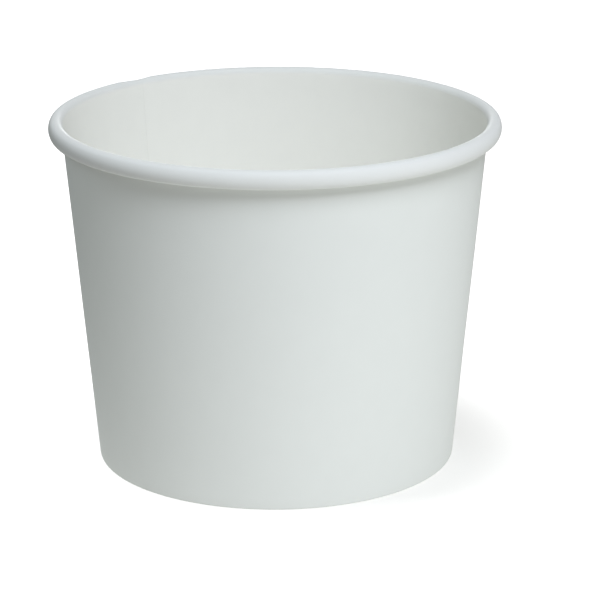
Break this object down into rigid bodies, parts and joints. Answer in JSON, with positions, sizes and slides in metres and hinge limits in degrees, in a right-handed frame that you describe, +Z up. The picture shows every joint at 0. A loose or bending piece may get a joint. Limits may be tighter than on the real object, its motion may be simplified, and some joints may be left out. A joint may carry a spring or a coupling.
{
  "type": "paper sundae cup",
  "caption": "Plain white paper tub for ice cream or a sundae: tapered board wall with a lapped side seam and rolled rim, and a recessed round base sealed into the foot.",
  "frame": {"origin": "middle of the circle that the cup stands on, at the foot", "axes": "+Z up along the cup's axis, out of its mouth; -Y is the front of the picture, and the side seam is at the back left, 131 degrees from +X towards +Y"},
  "size_m": [0.098, 0.098, 0.0762],
  "materials": {
    "wall_board": "matt white paperboard with a thin film on the inside",
    "base_board": "matt white paperboard with a thin film on the upper side"
  },
  "bodies": {
    "root": {"side_wall": "wall_board", "base_disc": "base_board"}
  },
  "joints": []
}
